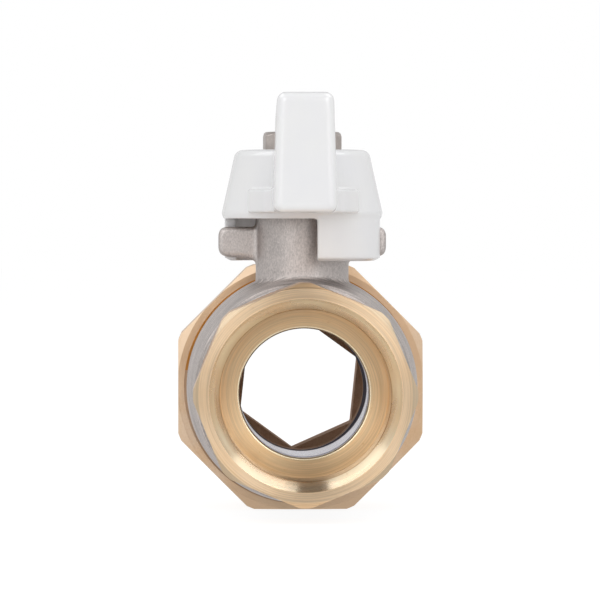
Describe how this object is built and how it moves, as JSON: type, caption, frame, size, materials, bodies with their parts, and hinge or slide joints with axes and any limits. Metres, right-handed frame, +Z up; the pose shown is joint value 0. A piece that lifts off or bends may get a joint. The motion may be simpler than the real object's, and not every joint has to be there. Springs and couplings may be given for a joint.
{
  "type": "union-end ball valve",
  "caption": "Two-way brass ball valve: female threaded octagon inlet, round ball chamber, union nut with threaded tail at the outlet, and a white quarter-turn stub lever on a stop neck.",
  "frame": {"origin": "centre of the inlet face, on the flow axis", "axes": "+Y along the flow from the inlet to the union end, +Z up the spindle, +X to the right seen from the inlet"},
  "size_m": [0.046, 0.0845, 0.0774],
  "materials": {
    "nickel_brass": "forged brass, nickel-grey and blasted outside, bare machined inlet face",
    "machined_brass": "bare turned brass",
    "chromed_ball": "polished chrome plate on brass",
    "ptfe": "white PTFE",
    "black_rubber": "black EPDM",
    "white_lever": "white moulded plastic with a soft gloss",
    "plated_steel": "dull grey plated steel",
    "gasket_fibre": "pressed fibre gasket"
  },
  "bodies": {
    "valve": {"valve_body": "nickel_brass", "front_seat": "ptfe", "rear_seat": "ptfe", "front_seat_oring": "black_rubber", "rear_seat_oring": "black_rubber", "seat_retainer": "machined_brass", "retainer_oring": "black_rubber", "stem_packing": "ptfe", "gland_nut": "machined_brass", "union_tailpiece": "machined_brass", "union_gasket": "gasket_fibre"},
    "spindle": {"stem": "machined_brass", "thrust_washer": "ptfe", "lower_stem_oring": "black_rubber", "upper_stem_oring": "black_rubber", "handle": "white_lever", "handle_washer": "plated_steel", "lock_washer": "plated_steel", "handle_nut": "plated_steel"},
    "ball_body": {"ball": "chromed_ball"},
    "nut_body": {"union_nut": "machined_brass"}
  },
  "joints": [
    {"name": "handle_turn", "type": "hinge", "parent": "valve", "child": "spindle", "pos_m": [0, 0.0315, 0], "axis": [0, 0, 1], "range_deg": [-90, 0]},
    {"name": "ball_turn", "type": "hinge", "parent": "valve", "child": "ball_body", "pos_m": [0, 0.0315, 0], "axis": [0, 0, 1], "range_deg": [-90, 0]},
    {"name": "union_nut_turn", "type": "hinge", "parent": "valve", "child": "nut_body", "pos_m": [0, 0.054, 0], "axis": [0, 1, 0], "continuous": true}
  ],
  "couplings": [
    {"joint": "ball_turn", "follows": "handle_turn", "ratio": 1}
  ]
}
